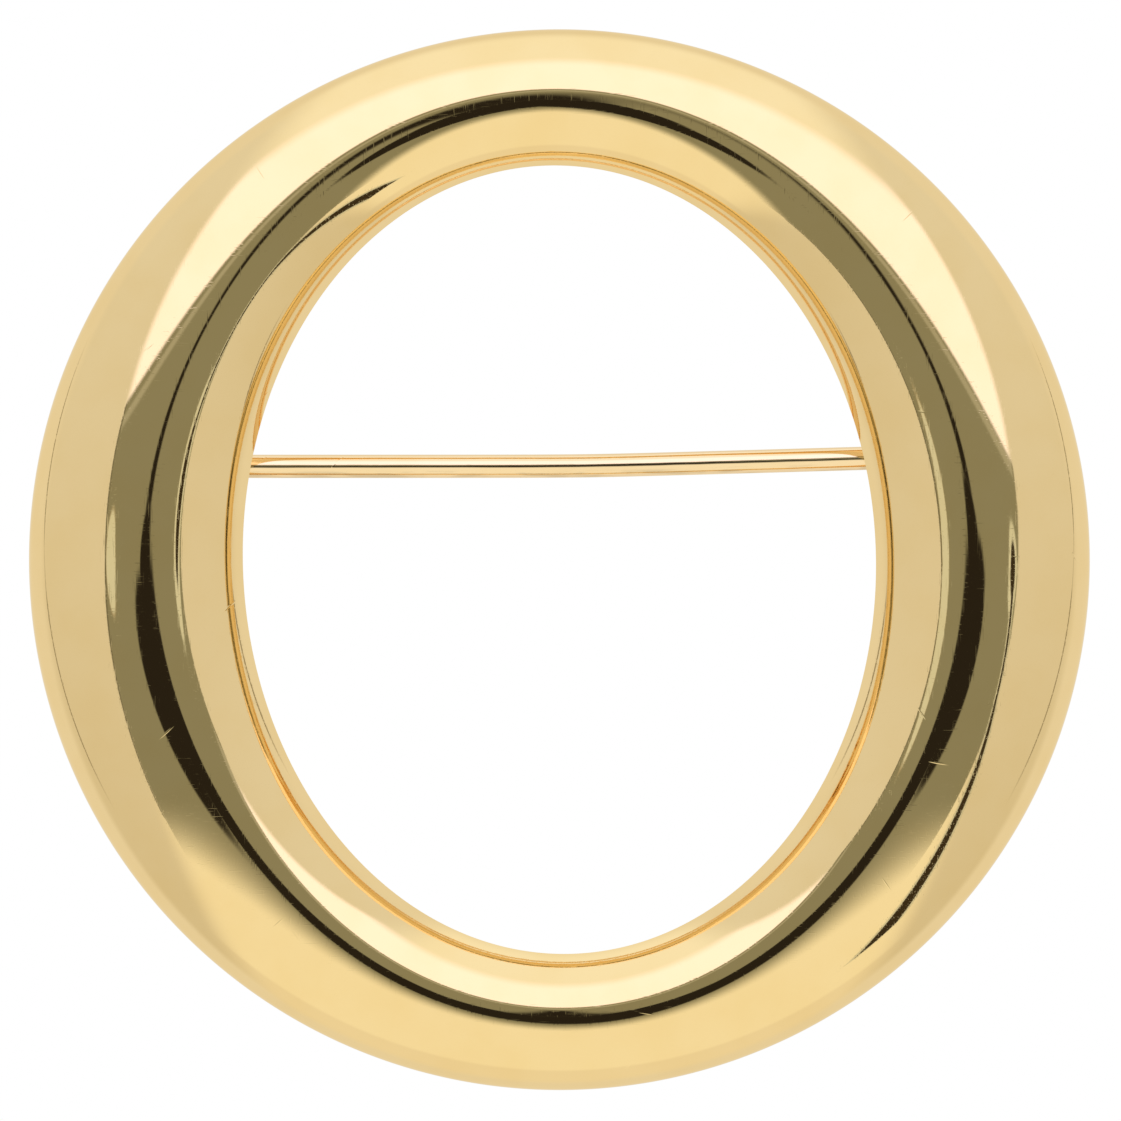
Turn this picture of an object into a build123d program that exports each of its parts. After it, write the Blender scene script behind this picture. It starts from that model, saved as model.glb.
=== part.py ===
from build123d import *
from math import asin, atan2, cos, degrees, radians, sin, sqrt, tan
import os

# Gold brooch: a hollow domed ring with an oval opening, crossed at the back by a hinged pin stem.
# Frame: it lies on its back, +Z to its front, +Y to the top of the oval, +X to its right.
# The origin is the ring's centre, on the plane that its rim rests on. Millimetres.

# Ring from the front
ring_diameter = 43.0
opening_width = 25.6
opening_height = 31.92
opening_tilt = 1.94         # degrees that the oval leans to the left at its top

# Ring in section, heights taken from the plane that it rests on
neck_width_side = 0.9       # steep band between the dome and the opening, at its left and right
neck_width_end = 0.64       # the same at its top and bottom
neck_end_angle = 59.0       # slope of the band at the opening, in degrees; it starts with the dome's slope
undercut_angle = 10.0       # how far the opening's wall leans outwards towards the back, in degrees
rim_height = 2.8            # where the outer wall turns into the dome
dome_rise_side = 3.1        # crest above the rim height, at left and right
dome_rise_end = 2.13        # the same at the top and bottom
crest_share_side = 0.41     # place of the crest, from the neck out to the rim, at left and right
crest_share_end = 0.42      # the same at the top and bottom
crest_share_diagonal = 0.373
flank_sweep = 50.0          # degrees of its ellipse that the inner flank runs through to the neck
section_count = 12          # sections that the ring is lofted through

# Back of the ring
recess_depth = 2.1          # back plate above the resting plane
rim_wall = 0.7
rim_round = 0.15
foot_trim = 0.03            # taken off the rim's rounded foot, which makes it flat
edge_round = 0.12           # lower edge of the opening
shell_wall = 0.45
back_wall = 0.5
vent_diameter = 0.9         # soldering vent through the back plate, at the bottom of the ring

# Pin stem
stem_diameter = 0.95
stem_offset = 3.8           # stem above the ring's centre, at the hinge
stem_bend_x = 1.2           # where the stem bends a little upwards
stem_bend_angle = 1.67      # degrees
stem_bend_radius = 120.0
point_length = 5.2
point_diameter = 0.24
point_overhang = 0.8        # point beyond the catch

# Hinge
rivet_diameter = 0.6
rivet_head_diameter = 1.0
rivet_head_height = 0.2
eye_wall = 0.4
eye_thickness = 1.1
eye_clearance = 0.05        # round the rivet
side_clearance = 0.05       # between the eye and each ear
fixed_gap = 0.02            # between the rivet and the ears
eye_gap = 0.15              # between the eye and the hinge plate
ear_thickness = 0.5
plate_thickness = 0.25
plate_margin = 0.7          # plate beyond the ears and the catch
weld = 0.1                  # how far soldered pieces run into the back plate

# Catch
catch_length = 2.0
catch_bore = 0.9
catch_wall = 0.3
catch_mouth = 0.72

# Sizes that follow from these
ring_radius = ring_diameter / 2
neck_width = opening_width + 2 * neck_width_side
neck_height = opening_height + 2 * neck_width_end
undercut = tan(radians(undercut_angle))
stem_radius = stem_diameter / 2
rivet_radius = rivet_diameter / 2
eye_radius = rivet_radius + eye_clearance + eye_wall
plate_bottom = recess_depth - plate_thickness
axis_height = plate_bottom - eye_gap - eye_radius
ear_gap = eye_thickness + 2 * side_clearance


def oval_radius(width, height, azimuth):
    """Distance from the centre to an oval's edge in one direction."""
    return 1 / sqrt((2 * cos(azimuth) / width) ** 2 + (2 * sin(azimuth) / height) ** 2)


def between(at_side, at_end, azimuth):
    """A size that changes smoothly from the sides of the ring to its ends."""
    return at_side * cos(azimuth) ** 2 + at_end * sin(azimuth) ** 2


def radial_plane(azimuth):
    """Upright plane through the ring's axis: local x runs outwards, local y up.

    The azimuth counts from the oval's short axis.
    """
    turn = azimuth + radians(opening_tilt)
    return Plane(origin=(0, 0, 0), x_dir=(cos(turn), sin(turn), 0), z_dir=(sin(turn), -cos(turn), 0))


def dome_arcs(neck, azimuth, wall, climb=0):
    """The dome's outer and inner flank at a depth of wall under the surface, down to the neck.

    The outer flank starts at a height of climb above the rim.
    """
    off_axis = sin(2 * azimuth) ** 2
    share = between(crest_share_side, crest_share_end, azimuth)
    share += (crest_share_diagonal - (crest_share_side + crest_share_end) / 2) * off_axis
    crest = neck + share * (ring_radius - neck)
    rise = between(dome_rise_side, dome_rise_end, azimuth)
    outer_reach = ring_radius - crest
    inner_reach = (crest - neck) / sin(radians(flank_sweep))
    start = degrees(asin(climb / (rise - wall)))
    outer = EllipticalCenterArc(
        (crest, rim_height), outer_reach - wall, rise - wall, start_angle=start, arc_size=90 - start
    )
    inner = EllipticalCenterArc(
        (crest, rim_height), inner_reach - wall, rise - wall, start_angle=90, arc_size=flank_sweep
    )
    return outer, inner


def neck_drop(inner, run):
    """Height that the neck loses from the end of the inner flank, over a run towards the opening."""
    start_angle = atan2(-(inner % 1).Y, -(inner % 1).X)
    return run * tan((start_angle + radians(neck_end_angle)) / 2)


def ring_section(azimuth):
    """Outline of the ring's metal in one radial plane, with its cavity filled."""
    edge = oval_radius(opening_width, opening_height, azimuth)
    neck = oval_radius(neck_width, neck_height, azimuth)
    skirt = ring_radius - rim_wall
    foot_round = rim_round - foot_trim
    outer, inner = dome_arcs(neck, azimuth, 0)
    brink = (inner @ 1).Y - neck_drop(inner, neck - edge)
    wall_foot = edge + undercut * (brink - recess_depth - edge_round)
    lines = [
        Line((ring_radius, foot_round), (ring_radius, rim_height)),
        outer,
        inner,
        TangentArc(inner @ 1, (edge, brink), tangent=inner % 1),
        Line((edge, brink), (wall_foot, recess_depth + edge_round)),
        RadiusArc((wall_foot, recess_depth + edge_round), (wall_foot + edge_round, recess_depth), -edge_round),
        Line((wall_foot + edge_round, recess_depth), (skirt, recess_depth)),
        Line((skirt, recess_depth), (skirt, foot_round)),
        RadiusArc((skirt, foot_round), (skirt + rim_round, -foot_trim), -rim_round),
        Line((skirt + rim_round, -foot_trim), (ring_radius - rim_round, -foot_trim)),
        RadiusArc((ring_radius - rim_round, -foot_trim), (ring_radius, foot_round), -rim_round),
    ]
    return Wire([radial_plane(azimuth) * line.edge() for line in lines])


def cavity_section(azimuth):
    """Outline of the hollow inside the ring in one radial plane."""
    edge = oval_radius(opening_width, opening_height, azimuth)
    neck = oval_radius(neck_width, neck_height, azimuth)
    floor = recess_depth + back_wall
    outer, inner = dome_arcs(neck, azimuth, shell_wall, max(floor - rim_height, 0))
    start = (outer @ 0).X
    skirt = [Line((start, floor), (start, rim_height))] if floor < rim_height else []
    end = edge + shell_wall
    brink = (inner @ 1).Y - neck_drop(inner, (inner @ 1).X - end)
    wall_foot = end + undercut * (brink - floor)
    lines = skirt + [
        outer,
        inner,
        Line(inner @ 1, (end, brink)),
        Line((end, brink), (wall_foot, floor)),
        Line((wall_foot, floor), (start, floor)),
    ]
    return Wire([radial_plane(azimuth) * line.edge() for line in lines])


def closed_loft(section):
    """Solid through the same section all the way round the ring."""
    wires = [section(radians(360 * step / section_count)) for step in range(section_count)]
    return Solid.make_loft(wires + [wires[0]])


def back_middle(side):
    """Middle of the back plate, level with the stem, on the left (-1) or right (+1)."""
    opening = opening_width / 2 * sqrt(1 - (2 * stem_offset / opening_height) ** 2)
    skirt = sqrt((ring_radius - rim_wall) ** 2 - stem_offset ** 2)
    return side * (opening + skirt) / 2


def stem_height_at(x):
    """Place of the stem's centre line along Y."""
    beyond = max(x - stem_bend_x, 0)
    return stem_offset + beyond * tan(radians(stem_bend_angle))


hinge_x = back_middle(-1)
catch_x = back_middle(1)


def solder_plate(x, y, length, width):
    """Small rounded plate soldered under the back of the ring."""
    outline = RectangleRounded(length, width, plate_margin * 0.8)
    return extrude(Pos(x, y, plate_bottom) * outline, amount=plate_thickness + weld)


def hinge_ears():
    """Two ears with a hole each for the rivet, on their plate."""
    profile = Circle(eye_radius) + Pos(0, eye_radius / 2 + eye_gap) * Rectangle(
        2 * eye_radius, eye_radius + 2 * eye_gap
    )
    profile -= Circle(rivet_radius + fixed_gap)
    side_view = Plane(origin=(hinge_x, stem_offset, axis_height), x_dir=(-1, 0, 0), z_dir=(0, 1, 0))
    ears = [
        extrude(side_view.offset(side * (ear_gap + ear_thickness) / 2) * profile, ear_thickness / 2, both=True)
        for side in (-1, 1)
    ]
    length = 2 * (eye_radius + plate_margin)
    width = ear_gap + 2 * (ear_thickness + plate_margin)
    return solder_plate(hinge_x, stem_offset, length, width) + ears


def catch():
    """C-shaped hook for the stem's point, with its mouth away from the back plate."""
    outer_radius = catch_bore / 2 + catch_wall
    neck = plate_bottom - axis_height + weld
    profile = Circle(outer_radius) + Pos(0, neck / 2) * Rectangle(outer_radius, neck)
    profile -= Circle(catch_bore / 2)
    profile -= Pos(0, -outer_radius) * Rectangle(catch_mouth, 2 * outer_radius)
    y = stem_height_at(catch_x)
    end_view = Plane(origin=(catch_x, y, axis_height), x_dir=(0, 1, 0), z_dir=(1, 0, 0))
    hook = extrude(end_view * profile, catch_length / 2, both=True)
    length = catch_length + 2 * plate_margin
    return solder_plate(catch_x, y, length, 2 * (outer_radius + plate_margin)) + hook


def vent():
    """Round hole through the back plate into the cavity."""
    middle = (opening_height / 2 + ring_radius - rim_wall) / 2
    depth = back_wall + 2 * weld
    return Pos(0, -middle, recess_depth + back_wall / 2) * Cylinder(vent_diameter / 2, depth)


def make_ring_body():
    """Domed ring, back plate, hinge ears and catch, soldered into one piece."""
    below_foot = Pos(0, 0, -rim_height) * Box(2 * ring_diameter, 2 * ring_diameter, 2 * rim_height)
    metal = closed_loft(ring_section) - below_foot - closed_loft(cavity_section) - vent()
    return metal + hinge_ears() + catch()


def make_pin_stem():
    """Wire with an eye round the rivet at one end and a point at the other."""
    taper_start = catch_x + catch_length / 2 + point_overhang - point_length
    start = (hinge_x + rivet_radius + eye_clearance + eye_wall / 2, stem_offset, axis_height)
    bend = (stem_bend_x, stem_offset, axis_height)
    end = (taper_start, stem_height_at(taper_start), axis_height)
    path = FilletPolyline(start, bend, end, radius=stem_bend_radius)
    wire = sweep(Plane(origin=start, z_dir=(1, 0, 0)) * Circle(stem_radius), path=path)
    along = path % 1
    point = Solid.make_cone(stem_radius, point_diameter / 2, point_length, Plane(origin=end, z_dir=along))
    eye_view = Plane(origin=(hinge_x, stem_offset, axis_height), x_dir=(1, 0, 0), z_dir=(0, 1, 0))
    eye = extrude(eye_view * Circle(eye_radius), eye_thickness / 2, both=True)
    bore = extrude(eye_view * Circle(rivet_radius + eye_clearance), eye_thickness, both=True)
    return wire + point + eye - bore


def make_hinge_rivet():
    """Rivet through both ears, with a low head on each side."""
    axis = Plane(origin=(hinge_x, stem_offset, axis_height), x_dir=(1, 0, 0), z_dir=(0, 1, 0))
    seat = ear_gap / 2 + ear_thickness + fixed_gap
    rivet = extrude(axis * Circle(rivet_radius), seat, both=True)
    for side in (-1, 1):
        head = extrude(axis.offset(side * seat) * Circle(rivet_head_diameter / 2), side * rivet_head_height)
        rivet += head
    return rivet


os.makedirs("parts", exist_ok=True)
parts = {
    "ring_body": make_ring_body(),
    "pin_stem": make_pin_stem(),
    "hinge_rivet": make_hinge_rivet(),
}
for name, shape in parts.items():
    export_step(shape, f"parts/{name}.step")
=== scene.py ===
"""Gold ring brooch: its polished metal, the light tent that it mirrors, and the camera above it.

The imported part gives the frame: metres, the brooch on its back, +Z out of its domed front, +Y to the top
of its oval opening. The dome and the back of the ring are one surface that follows a rule, made with
Geometry Nodes, and so is the pin stem. The fittings on the back are cut from flat outlines.
"""

import logging
import math
from dataclasses import dataclass
from enum import Enum

import bpy
from mathutils import Matrix

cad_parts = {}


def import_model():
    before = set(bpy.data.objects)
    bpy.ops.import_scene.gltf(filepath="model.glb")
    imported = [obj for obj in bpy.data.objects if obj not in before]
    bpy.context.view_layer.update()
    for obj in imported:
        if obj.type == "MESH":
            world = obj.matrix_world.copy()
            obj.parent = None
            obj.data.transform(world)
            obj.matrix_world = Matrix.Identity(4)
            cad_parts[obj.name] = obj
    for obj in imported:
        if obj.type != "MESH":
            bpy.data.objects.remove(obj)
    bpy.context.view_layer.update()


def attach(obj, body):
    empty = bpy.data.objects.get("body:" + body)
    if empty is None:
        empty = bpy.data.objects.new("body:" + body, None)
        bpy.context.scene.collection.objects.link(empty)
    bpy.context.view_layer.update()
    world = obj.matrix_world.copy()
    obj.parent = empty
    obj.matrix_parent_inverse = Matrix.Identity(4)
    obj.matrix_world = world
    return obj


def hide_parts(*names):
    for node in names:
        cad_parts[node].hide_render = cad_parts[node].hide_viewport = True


MM = 0.001
TURN = 2 * math.pi
PHOTO_WIDTH = 1121
MIX_SHARE, MIX_BELOW, MIX_ABOVE, MIX_RESULT = 0, 6, 7, 2
Colour = tuple[float, float, float]
Point = tuple[float, float]
log = logging.getLogger("brooch")


class Body(Enum):
    """The two bodies of the brooch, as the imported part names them."""

    BROOCH = "brooch"
    PIN = "pin"


class Slot(Enum):
    """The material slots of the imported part."""

    RING = "polished_gold"
    WIRE = "gold_wire"


class Side(Enum):
    """Left and right of the ring, seen from its front."""

    LEFT = -1
    RIGHT = 1


class Field:
    """A number worked out by nodes, which adds and multiplies as a plain number does."""

    def __init__(self, tree: bpy.types.NodeTree, socket: bpy.types.NodeSocket) -> None:
        """Wraps one output socket.

        Args:
            tree: The geometry or shader tree that the socket belongs to.
            socket: The output that carries the number.
        """
        self.tree = tree
        self.socket = socket

    @staticmethod
    def feed(tree: bpy.types.NodeTree, slot: bpy.types.NodeSocket, value: "Field | float") -> None:
        """Links a field to an input socket, or sets a plain number on it.

        Args:
            tree: The tree of the socket.
            slot: The input socket.
            value: The field or the number.
        """
        if isinstance(value, Field):
            tree.links.new(value.socket, slot)
        else:
            slot.default_value = value

    def math(self, operation: str, *others: "Field | float") -> "Field":
        """Puts this field and others through one math node.

        Args:
            operation: The node's operation, such as "ADD".
            others: The operands that follow this one.

        Returns:
            The node's result.
        """
        node = self.tree.nodes.new("ShaderNodeMath")
        node.operation = operation
        for slot, value in zip(node.inputs, (self, *others)):
            self.feed(self.tree, slot, value)
        return Field(self.tree, node.outputs[0])

    def ramp(self, low: "Field | float", high: "Field | float") -> "Field":
        """Smooth step of this field.

        Args:
            low: Where the step starts, at 0.
            high: Where it ends, at 1. It may be the lower of the two.

        Returns:
            A field between 0 and 1.
        """
        node = self.tree.nodes.new("ShaderNodeMapRange")
        node.interpolation_type = "SMOOTHSTEP"
        for slot, value in zip(node.inputs, (self, low, high)):
            self.feed(self.tree, slot, value)
        return Field(self.tree, node.outputs[0])

    def between(self, start: "Field | float", end: "Field | float") -> "Field":
        """Value on the way from start to end, with this field as the share of the way."""
        return (end - start) * self + start

    def sin(self) -> "Field":
        """Sine of this field, in radians."""
        return self.math("SINE")

    def cos(self) -> "Field":
        """Cosine of this field, in radians."""
        return self.math("COSINE")

    def sqrt(self) -> "Field":
        """Square root of this field."""
        return self.math("SQRT")

    def abs(self) -> "Field":
        """This field without its sign."""
        return self.math("ABSOLUTE")

    def __add__(self, other: "Field | float") -> "Field":
        """Sum of two."""
        return self.math("ADD", other)

    def __sub__(self, other: "Field | float") -> "Field":
        """Difference of two."""
        return self.math("SUBTRACT", other)

    def __rsub__(self, other: float) -> "Field":
        """Difference of two, with the plain number first."""
        return self.math("MULTIPLY_ADD", -1.0, other)

    def __mul__(self, other: "Field | float") -> "Field":
        """Product of two."""
        return self.math("MULTIPLY", other)

    def __rmul__(self, other: float) -> "Field":
        """Product of two, with the plain number first."""
        return self.math("MULTIPLY", other)

    def __truediv__(self, other: "Field | float") -> "Field":
        """Quotient of two."""
        return self.math("DIVIDE", other)


def parts(tree: bpy.types.NodeTree, vector: bpy.types.NodeSocket) -> tuple[Field, ...]:
    """Splits a vector.

    Args:
        tree: The tree to add to.
        vector: The vector's socket.

    Returns:
        Its X, Y and Z.
    """
    split = tree.nodes.new("ShaderNodeSeparateXYZ")
    tree.links.new(vector, split.inputs[0])
    return tuple(Field(tree, part) for part in split.outputs)


def largest(first: Field, *others: Field) -> Field:
    """Takes the largest of several fields in each place.

    Args:
        first: The first field.
        others: The fields that it is compared with.

    Returns:
        The largest.
    """
    for other in others:
        first = first.math("MAXIMUM", other)
    return first


def own_coordinates(tree: bpy.types.NodeTree) -> bpy.types.NodeSocket:
    """Finds a piece's own coordinates, in metres.

    Args:
        tree: The material's tree.

    Returns:
        Their socket, which the whole material shares.
    """
    found = tree.nodes.get("coordinates")
    if found is None:
        found = tree.nodes.new("ShaderNodeTexCoord")
        found.name = "coordinates"
    return found.outputs["Object"]


def layered(tree: bpy.types.NodeTree, below: bpy.types.NodeSocket | Colour, share: Field,
            colour: Colour) -> bpy.types.NodeSocket:
    """Lays one colour over what is there so far.

    Args:
        tree: The world's or the material's tree.
        below: What is there so far: an output, or one plain colour.
        share: Where the new colour lies.
        colour: The new colour. For a light it holds the strength too.

    Returns:
        The result.
    """
    mix = tree.nodes.new("ShaderNodeMix")
    mix.data_type = "RGBA"
    Field.feed(tree, mix.inputs[MIX_SHARE], share)
    if isinstance(below, bpy.types.NodeSocket):
        tree.links.new(below, mix.inputs[MIX_BELOW])
    else:
        mix.inputs[MIX_BELOW].default_value = (*below, 1)
    mix.inputs[MIX_ABOVE].default_value = (*colour, 1)
    return mix.outputs[MIX_RESULT]


@dataclass
class RuledSurface:
    """A closed skin made of patches, each of which follows a rule, in one Geometry Nodes tree.

    Every patch is a grid over the unit square. The rules read the fields across and along, from 0 to 1.
    """

    name: str
    sizes: dict[str, float]
    material: bpy.types.Material
    columns: int
    sharp_from: float = math.radians(20)
    merge_distance: float = 0.5e-3 * MM

    def __post_init__(self) -> None:
        """Makes the empty tree, with one named input for each size."""
        self.tree = bpy.data.node_groups.new(self.name, "GeometryNodeTree")
        interface = self.tree.interface
        interface.new_socket(name="Geometry", in_out="OUTPUT", socket_type="NodeSocketGeometry")
        self.inputs: dict[str, str] = {}
        for label, size in self.sizes.items():
            socket = interface.new_socket(name=label, in_out="INPUT", socket_type="NodeSocketFloat")
            socket.default_value = size
            self.inputs[label] = socket.identifier
        self.group_input = self.tree.nodes.new("NodeGroupInput")
        position = self.tree.nodes.new("GeometryNodeInputPosition")
        x, y, _ = parts(self.tree, position.outputs[0])
        self.across = x + 0.5
        self.along = y + 0.5
        self.joined = self.tree.nodes.new("GeometryNodeJoinGeometry")

    def size(self, label: str) -> Field:
        """The tree's input of that name."""
        return Field(self.tree, self.group_input.outputs[label])

    def patch(self, rows: int, x: Field, y: Field, z: "Field | float") -> None:
        """Adds one patch.

        Args:
            rows: How many faces it has along its rule.
            x: Rule for X, in metres.
            y: Rule for Y, in metres.
            z: Rule for Z, in metres.
        """
        nodes, links = self.tree.nodes, self.tree.links
        grid = nodes.new("GeometryNodeMeshGrid")
        for label, value in (
            ("Size X", 1.0), ("Size Y", 1.0), ("Vertices X", self.columns + 1), ("Vertices Y", rows + 1)
        ):
            grid.inputs[label].default_value = value
        place = nodes.new("ShaderNodeCombineXYZ")
        for slot, value in zip(place.inputs, (x, y, z)):
            Field.feed(self.tree, slot, value)
        moved = nodes.new("GeometryNodeSetPosition")
        links.new(grid.outputs["Mesh"], moved.inputs["Geometry"])
        links.new(place.outputs[0], moved.inputs["Position"])
        links.new(moved.outputs[0], self.joined.inputs[0])

    def _then(self, kind: str, before: bpy.types.NodeSocket, **values: object) -> bpy.types.Node:
        """Adds a node that takes the geometry so far.

        Args:
            kind: The node's type.
            before: The geometry so far.
            values: Its other inputs, with underscores for the spaces in their names.

        Returns:
            The node.
        """
        node = self.tree.nodes.new(kind)
        self.tree.links.new(before, node.inputs[0])
        for label, value in values.items():
            node.inputs[label.replace("_", " ")].default_value = value
        return node

    def finish(self, bore: "Bore | None" = None) -> bpy.types.Object:
        """Closes the tree and turns its result into a plain mesh.

        Args:
            bore: A round hole to drill, or None.

        Returns:
            The finished object, at the origin.
        """
        nodes, links = self.tree.nodes, self.tree.links
        merged = self._then(
            "GeometryNodeMergeByDistance", self.joined.outputs[0], Distance=self.merge_distance
        )
        last = merged.outputs[0]
        if bore is not None:
            last = bore.cut(self.tree, last)
        smooth = self._then("GeometryNodeSetShadeSmooth", last)
        angle = nodes.new("GeometryNodeInputMeshEdgeAngle")
        steep = nodes.new("FunctionNodeCompare")
        steep.operation = "GREATER_THAN"
        links.new(angle.outputs[0], steep.inputs[0])
        steep.inputs[1].default_value = self.sharp_from
        sharp = self._then("GeometryNodeSetShadeSmooth", smooth.outputs[0], Shade_Smooth=False)
        sharp.domain = "EDGE"
        links.new(steep.outputs[0], sharp.inputs["Selection"])
        realized = self._then("GeometryNodeRealizeInstances", sharp.outputs[0])
        dressed = self._then("GeometryNodeSetMaterial", realized.outputs[0], Material=self.material)
        output = nodes.new("NodeGroupOutput")
        links.new(dressed.outputs[0], output.inputs[0])
        return self._baked()

    def _baked(self) -> bpy.types.Object:
        """Runs the tree on an empty object and keeps what it makes.

        Returns:
            The object, with what the tree made as its own mesh.
        """
        blank = bpy.data.meshes.new(self.name)
        piece = bpy.data.objects.new(self.name, blank)
        bpy.context.scene.collection.objects.link(piece)
        modifier = piece.modifiers.new("rule", "NODES")
        modifier.node_group = self.tree
        for label, size in self.sizes.items():
            modifier[self.inputs[label]] = size
        return baked(piece)


@dataclass(frozen=True)
class Bore:
    """A round upright hole."""

    x: float
    y: float
    bottom: float
    top: float
    radius: float
    sides: int = 48

    def cut(self, tree: bpy.types.NodeTree, metal: bpy.types.NodeSocket) -> bpy.types.NodeSocket:
        """Drills the hole.

        Args:
            tree: The geometry tree to add to.
            metal: The mesh to drill.

        Returns:
            The drilled mesh.
        """
        drill = tree.nodes.new("GeometryNodeMeshCylinder")
        for label, value in (
            ("Vertices", self.sides), ("Radius", self.radius), ("Depth", self.top - self.bottom)
        ):
            drill.inputs[label].default_value = value
        moved = tree.nodes.new("GeometryNodeTransform")
        tree.links.new(drill.outputs["Mesh"], moved.inputs["Geometry"])
        moved.inputs["Translation"].default_value = (self.x, self.y, (self.top + self.bottom) / 2)
        boolean = tree.nodes.new("GeometryNodeMeshBoolean")
        boolean.operation = "DIFFERENCE"
        boolean.solver = "EXACT"
        tree.links.new(metal, boolean.inputs["Mesh 1"])
        tree.links.new(moved.outputs[0], boolean.inputs["Mesh 2"])
        return boolean.outputs["Mesh"]


def baked(piece: bpy.types.Object) -> bpy.types.Object:
    """Keeps what an object's modifiers or curve bevel make as a plain mesh object.

    Args:
        piece: A mesh or curve object.

    Returns:
        A mesh object of the same name at the origin, with no modifier.
    """
    bpy.context.view_layer.update()
    graph = bpy.context.evaluated_depsgraph_get()
    mesh = bpy.data.meshes.new_from_object(
        piece.evaluated_get(graph), preserve_all_data_layers=True, depsgraph=graph
    )
    mesh.transform(piece.matrix_world)
    name = piece.name
    bpy.data.objects.remove(piece)
    finished = bpy.data.objects.new(name, mesh)
    bpy.context.scene.collection.objects.link(finished)
    return finished


def joined(name: str, pieces: list[bpy.types.Object], unite: bool = False) -> bpy.types.Object:
    """Joins pieces of one solid into one object.

    Args:
        name: The object's name.
        pieces: The pieces, in the frame. They are used up.
        unite: Whether their skins are united where they meet, so that one skin is left.

    Returns:
        The joined object.
    """
    first, *others = pieces
    if unite:
        for other in others:
            union = first.modifiers.new("solder", "BOOLEAN")
            union.operation = "UNION"
            union.solver = "EXACT"
            union.object = other
        first = baked(first)
        for other in others:
            bpy.data.objects.remove(other)
    else:
        with bpy.context.temp_override(active_object=first, selected_editable_objects=pieces):
            bpy.ops.object.join()
    first.name = name
    first.data.name = name
    return first


def flat_square(name: str, half: float, height: float, material: bpy.types.Material,
                upwards: bool = True) -> bpy.types.Object:
    """Makes a level square about the ring's axis.

    Args:
        name: The object's name.
        half: Half of its side.
        height: Its height in the frame.
        material: The finish.
        upwards: Whether its face looks up.

    Returns:
        The square.
    """
    mesh = bpy.data.meshes.new(name)
    turn = 1 if upwards else -1
    corners = [(x * half, y * turn * half, height) for x, y in ((-1, -1), (1, -1), (1, 1), (-1, 1))]
    mesh.from_pydata(corners, [], [(0, 1, 2, 3)])
    mesh.materials.append(material)
    square = bpy.data.objects.new(name, mesh)
    bpy.context.scene.collection.objects.link(square)
    return square


def shade(piece: bpy.types.Object, sharp_from: float = math.radians(34)) -> None:
    """Shades a piece smooth, with sharp edges where its faces turn by more than an angle.

    Args:
        piece: The mesh object.
        sharp_from: The angle, in radians.
    """
    piece.data.polygons.foreach_set("use_smooth", [True] * len(piece.data.polygons))
    piece.data.set_sharp_from_angle(angle=sharp_from)


@dataclass(frozen=True)
class Outline:
    """A closed flat shape with holes, cut from sheet and given rounded edges."""

    loops: tuple[tuple[Point, ...], ...]
    thickness: float
    edge: float

    def cut(self, name: str, place: Matrix, material: bpy.types.Material) -> bpy.types.Object:
        """Makes the piece.

        Args:
            name: The object's name.
            place: Where the outline's own plane lies in the frame. The thickness is centred on it.
            material: The finish.

        Returns:
            A mesh object at the origin.
        """
        curve = bpy.data.curves.new(name, "CURVE")
        curve.dimensions = "2D"
        curve.fill_mode = "BOTH"
        curve.extrude = (self.thickness / 2 - self.edge) / MM
        curve.bevel_depth = self.edge / MM
        curve.bevel_resolution = 3
        curve.offset = -self.edge / MM
        for loop in self.loops:
            spline = curve.splines.new("POLY")
            spline.points.add(len(loop) - 1)
            for point, (x, y) in zip(spline.points, loop):
                point.co = (x / MM, y / MM, 0, 1)
            spline.use_cyclic_u = True
        curve.materials.append(material)
        piece = bpy.data.objects.new(name, curve)
        bpy.context.scene.collection.objects.link(piece)
        piece.matrix_world = place @ Matrix.Scale(MM, 4)
        finished = baked(piece)
        weld(finished)
        shade(finished)
        return finished


def weld(piece: bpy.types.Object) -> None:
    """Merges the doubled points of a mesh that a flat curve gave.

    Args:
        piece: The mesh object.
    """
    modifier = piece.modifiers.new("weld", "WELD")
    modifier.merge_threshold = 1e-4 * MM
    bpy.context.view_layer.update()
    graph = bpy.context.evaluated_depsgraph_get()
    piece.data = bpy.data.meshes.new_from_object(piece.evaluated_get(graph))
    piece.modifiers.remove(modifier)


def arc(radius: float, start: float, end: float, centre: Point = (0, 0), steps: int = 40) -> list[Point]:
    """Points of an arc.

    Args:
        radius: The arc's radius.
        start: First angle, in degrees.
        end: Last angle, in degrees.
        centre: The arc's centre.
        steps: How many straight steps it has.

    Returns:
        The points from start to end.
    """
    turns = [math.radians(start + (end - start) * step / steps) for step in range(steps + 1)]
    return [(centre[0] + radius * math.cos(a), centre[1] + radius * math.sin(a)) for a in turns]


def circle(radius: float, steps: int = 96) -> tuple[Point, ...]:
    """Points of a whole circle about the origin."""
    return tuple(arc(radius, 0, 360, steps=steps)[:-1])


def rounded_rectangle(length: float, width: float, corner: float) -> tuple[Point, ...]:
    """Points of a rectangle with rounded corners about the origin.

    Args:
        length: Its size along x.
        width: Its size along y.
        corner: The corners' radius.

    Returns:
        The points, counterclockwise.
    """
    x, y = length / 2 - corner, width / 2 - corner
    corners = ((x, y, 0), (-x, y, 90), (-x, -y, 180), (x, -y, 270))
    return tuple(p for cx, cy, turn in corners for p in arc(corner, turn, turn + 90, (cx, cy), 12))


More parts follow.
